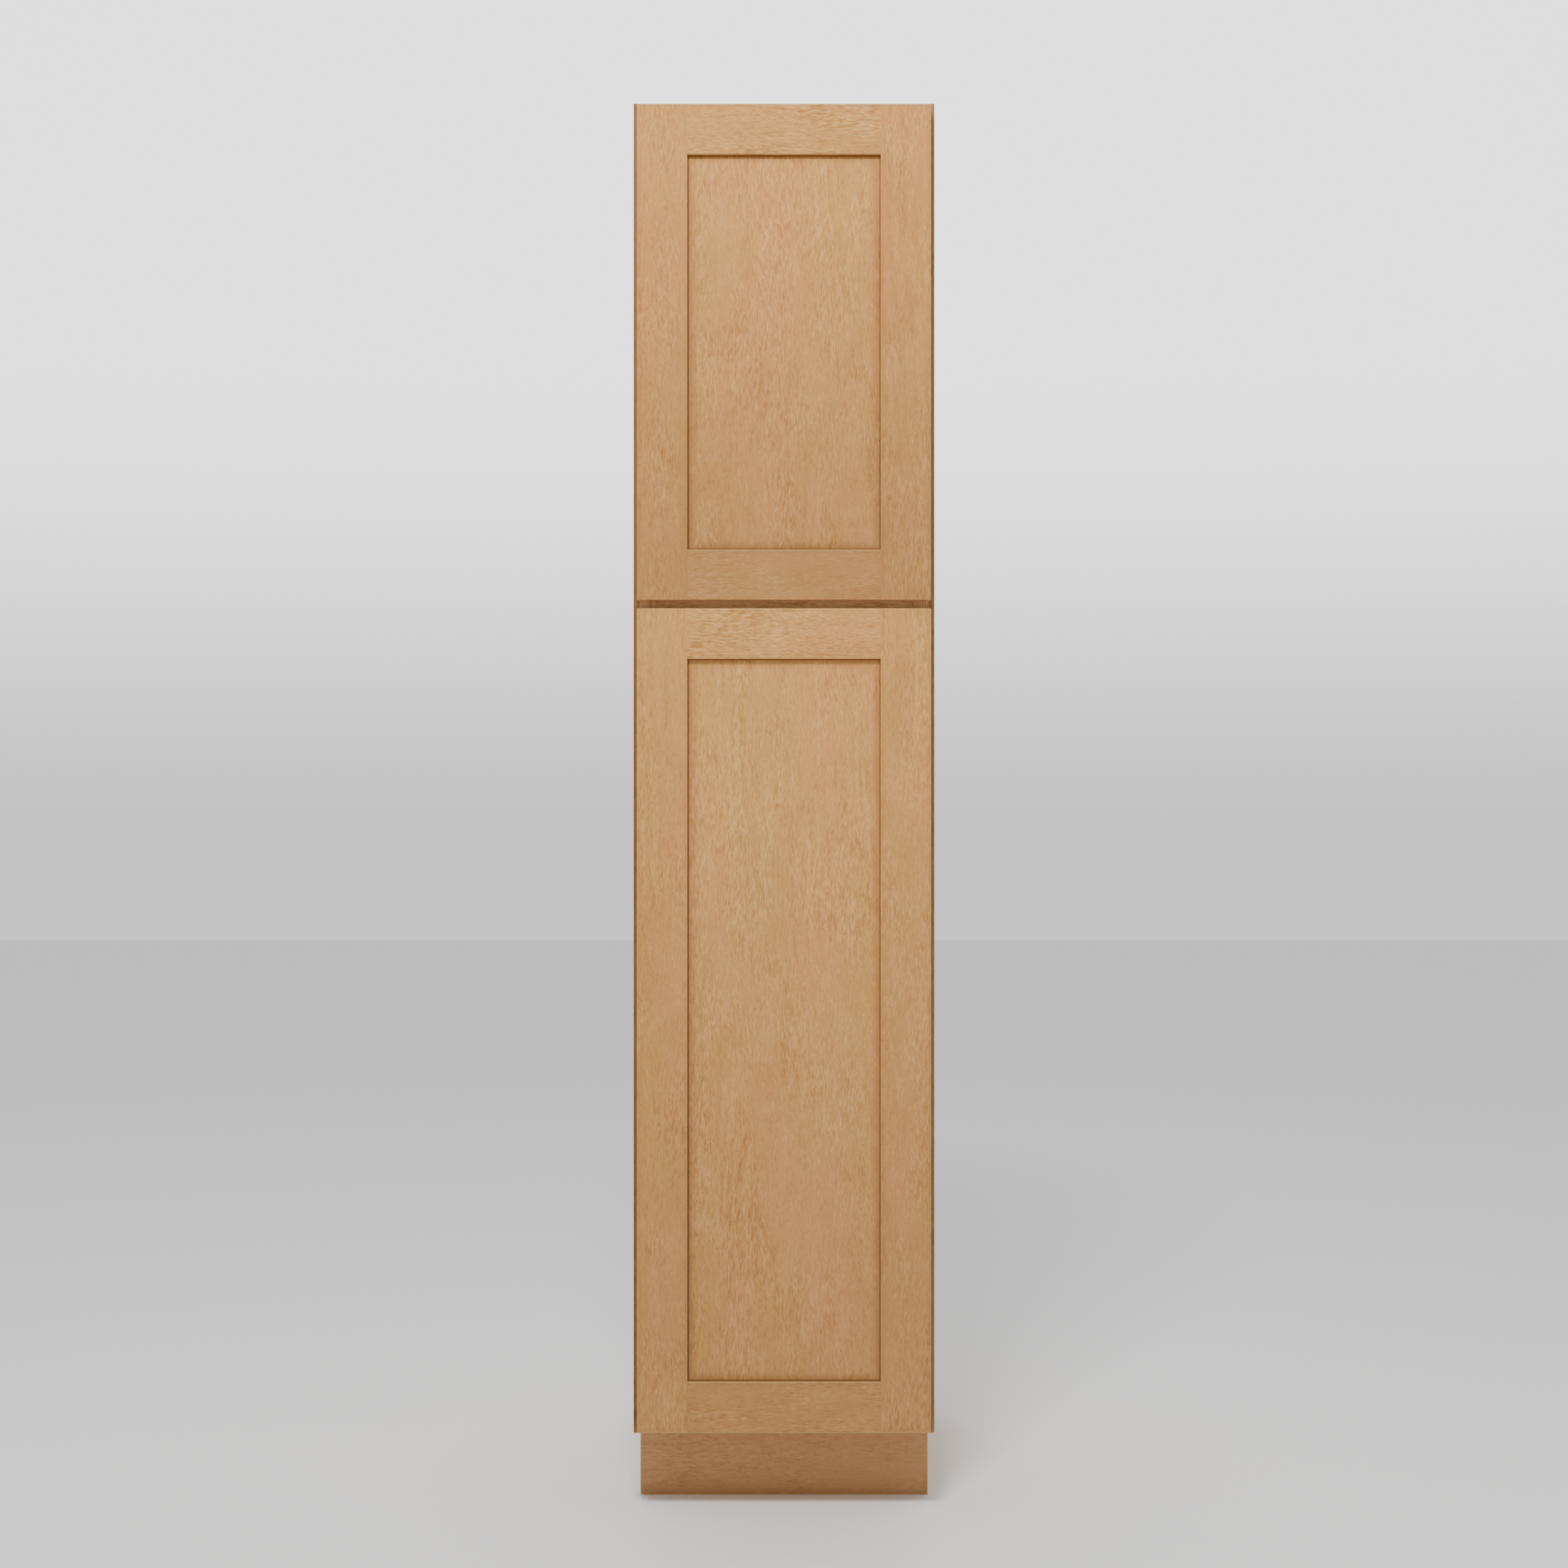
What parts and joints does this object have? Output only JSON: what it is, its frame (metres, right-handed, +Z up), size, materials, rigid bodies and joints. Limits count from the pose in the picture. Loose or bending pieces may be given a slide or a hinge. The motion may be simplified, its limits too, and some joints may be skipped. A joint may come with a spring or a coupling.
{
  "type": "pantry cabinet",
  "caption": "Tall narrow pantry cabinet with a face frame, recessed-panel wood doors that swing on concealed hinges, lift-off shelves on pins and a recessed toe kick.",
  "frame": {"origin": "on the floor, at the middle of the whole cabinet's width and depth, with the doors shut", "axes": "+Z up, the doors face -Y, +X to the right of a person who faces the doors"},
  "size_m": [0.4572, 0.6316, 2.1336],
  "materials": {
    "stained_wood": "honey stained maple with a satin clear coat",
    "stained_panel": "honey stained maple veneer panel with a satin clear coat",
    "plywood": "clear coated plywood",
    "toe_wood": "stained plywood, darker than the doors",
    "nickel_steel": "nickel plated steel",
    "zinc_steel": "zinc plated steel",
    "clear_bumper": "clear soft plastic"
  },
  "bodies": {
    "cabinet": {"left_side_panel": "plywood", "right_side_panel": "plywood", "top_panel": "plywood", "bottom_deck": "plywood", "fixed_shelf": "plywood", "back_panel": "plywood", "hanging_rail_top": "plywood", "hanging_rail_middle": "plywood", "hanging_rail_bottom": "plywood", "toe_kick_board": "toe_wood", "corner_blocks": "plywood", "frame_stile_left": "stained_wood", "frame_stile_right": "stained_wood", "frame_rail_top": "stained_wood", "frame_rail_middle": "stained_wood", "frame_rail_bottom": "stained_wood", "frame_pocket_screws": "zinc_steel", "shelf_pins": "nickel_steel", "hinge_arm_1": "nickel_steel", "hinge_arm_2": "nickel_steel", "hinge_arm_3": "nickel_steel", "hinge_arm_4": "nickel_steel", "hinge_arm_5": "nickel_steel", "hinge_frame_plates": "zinc_steel", "hinge_plate_screws": "zinc_steel", "hinge_adjusting_screws": "nickel_steel"},
    "lower_door": {"lower_door_hinge_stile": "stained_wood", "lower_door_free_stile": "stained_wood", "lower_door_top_rail": "stained_wood", "lower_door_bottom_rail": "stained_wood", "lower_door_panel": "stained_panel", "lower_door_bumpers": "clear_bumper", "hinge_cup_1": "nickel_steel", "hinge_cup_2": "nickel_steel", "hinge_cup_3": "nickel_steel", "lower_hinge_pins": "zinc_steel", "lower_cup_screws": "zinc_steel"},
    "upper_door": {"upper_door_hinge_stile": "stained_wood", "upper_door_free_stile": "stained_wood", "upper_door_top_rail": "stained_wood", "upper_door_bottom_rail": "stained_wood", "upper_door_panel": "stained_panel", "upper_door_bumpers": "clear_bumper", "hinge_cup_4": "nickel_steel", "hinge_cup_5": "nickel_steel", "upper_hinge_pins": "zinc_steel", "upper_cup_screws": "zinc_steel"},
    "shelf_1": {"shelf_1": "plywood"},
    "shelf_2": {"shelf_2": "plywood"},
    "shelf_3": {"shelf_3": "plywood"},
    "shelf_4": {"shelf_4": "plywood"}
  },
  "joints": [
    {"name": "lower_door_hinge", "type": "hinge", "parent": "cabinet", "child": "lower_door", "pos_m": [-0.21475, -0.30588, 0.743], "axis": [0, 0, -1], "range_deg": [0, 105]},
    {"name": "upper_door_hinge", "type": "hinge", "parent": "cabinet", "child": "upper_door", "pos_m": [-0.21475, -0.30588, 1.7526], "axis": [0, 0, -1], "range_deg": [0, 105]},
    {"name": "shelf_1_lift", "type": "slide", "parent": "cabinet", "child": "shelf_1", "axis": [0, 0, 1], "range_m": [0, 0.032]},
    {"name": "shelf_2_lift", "type": "slide", "parent": "cabinet", "child": "shelf_2", "axis": [0, 0, 1], "range_m": [0, 0.032]},
    {"name": "shelf_3_lift", "type": "slide", "parent": "cabinet", "child": "shelf_3", "axis": [0, 0, 1], "range_m": [0, 0.032]},
    {"name": "shelf_4_lift", "type": "slide", "parent": "cabinet", "child": "shelf_4", "axis": [0, 0, 1], "range_m": [0, 0.032]}
  ]
}
